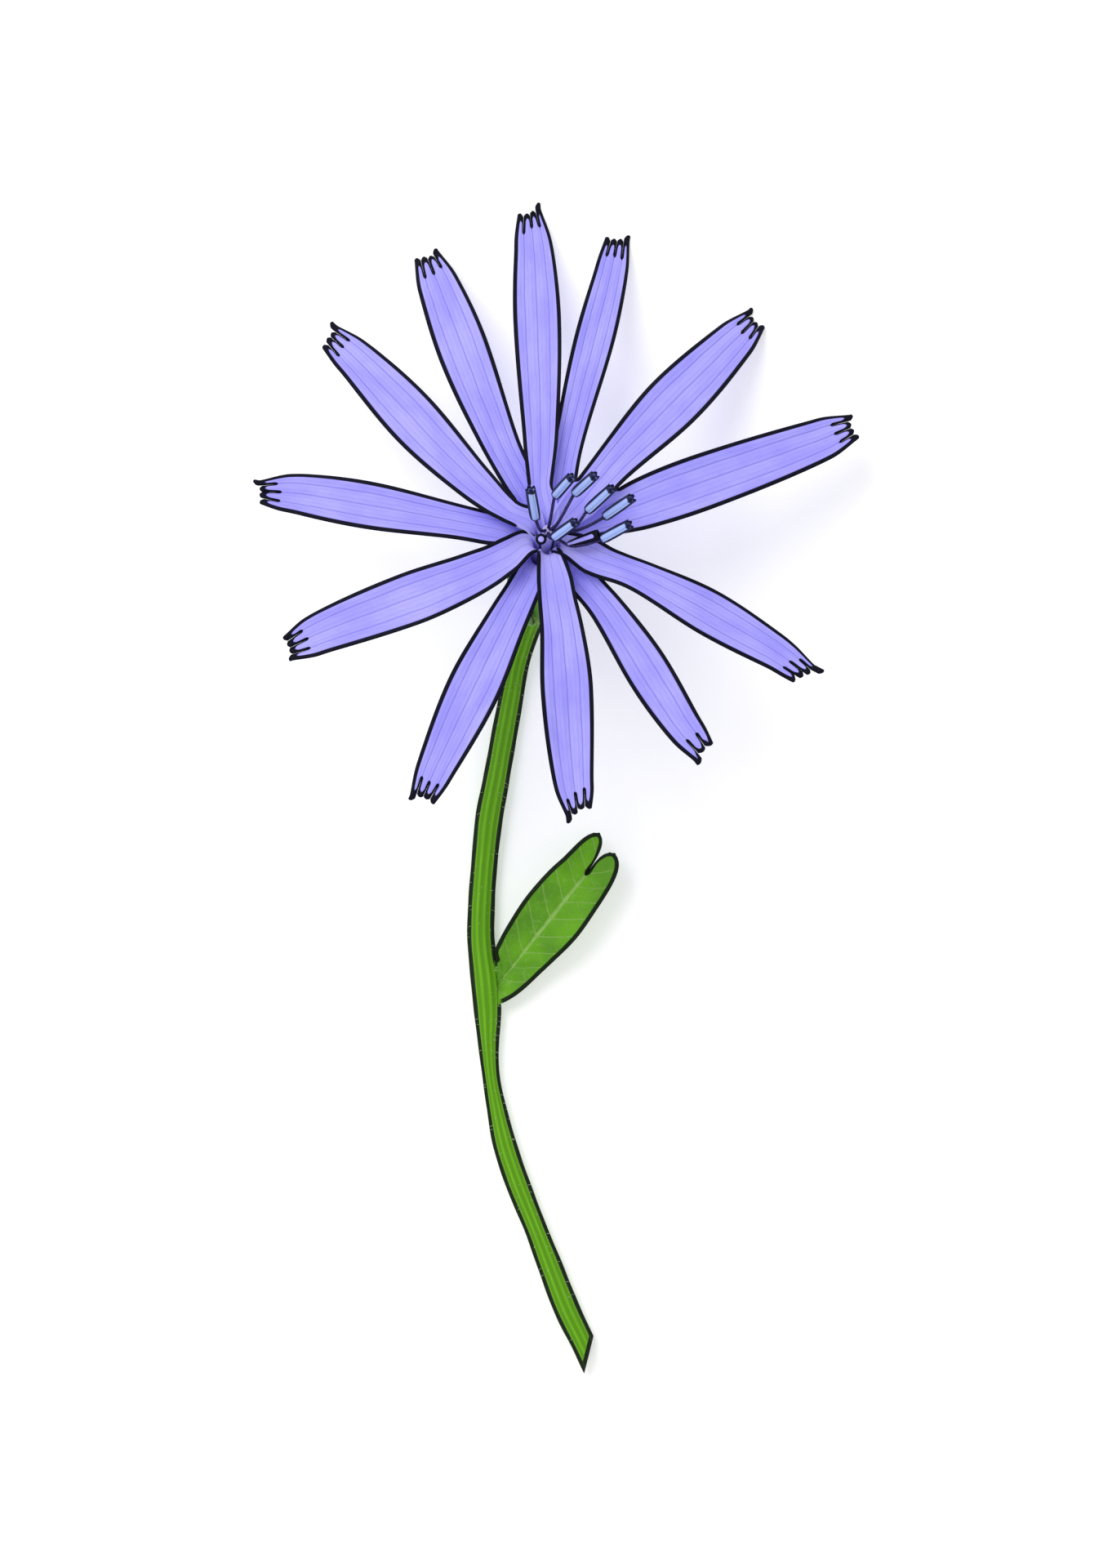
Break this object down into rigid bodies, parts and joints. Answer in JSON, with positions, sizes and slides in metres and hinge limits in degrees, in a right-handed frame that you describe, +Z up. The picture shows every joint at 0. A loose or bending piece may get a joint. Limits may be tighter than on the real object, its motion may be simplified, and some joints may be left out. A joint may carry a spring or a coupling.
{
  "type": "chicory flower",
  "caption": "Cut chicory flower lying face up: narrow violet ray florets with toothed ends round pale blue anther tubes, on a bent green stalk with a notched leaf.",
  "frame": {"origin": "on the surface that the flower lies on, under the middle of its box", "axes": "+Y from the cut end of the stalk towards the head, +Z up, out of the face of the head"},
  "size_m": [0.0406, 0.0787, 0.0194],
  "materials": {
    "floret": "matte",
    "anthers": "matte",
    "bracts": "matte",
    "stalk": "satin",
    "leaf": "satin"
  },
  "bodies": {
    "root": {"ray_floret_01": "floret", "ray_floret_02": "floret", "ray_floret_03": "floret", "ray_floret_04": "floret", "ray_floret_05": "floret", "ray_floret_06": "floret", "ray_floret_07": "floret", "ray_floret_08": "floret", "ray_floret_09": "floret", "ray_floret_10": "floret", "ray_floret_11": "floret", "ray_floret_12": "floret", "stamens": "anthers", "involucre": "bracts", "stem": "stalk", "leaf": "leaf"}
  },
  "joints": []
}
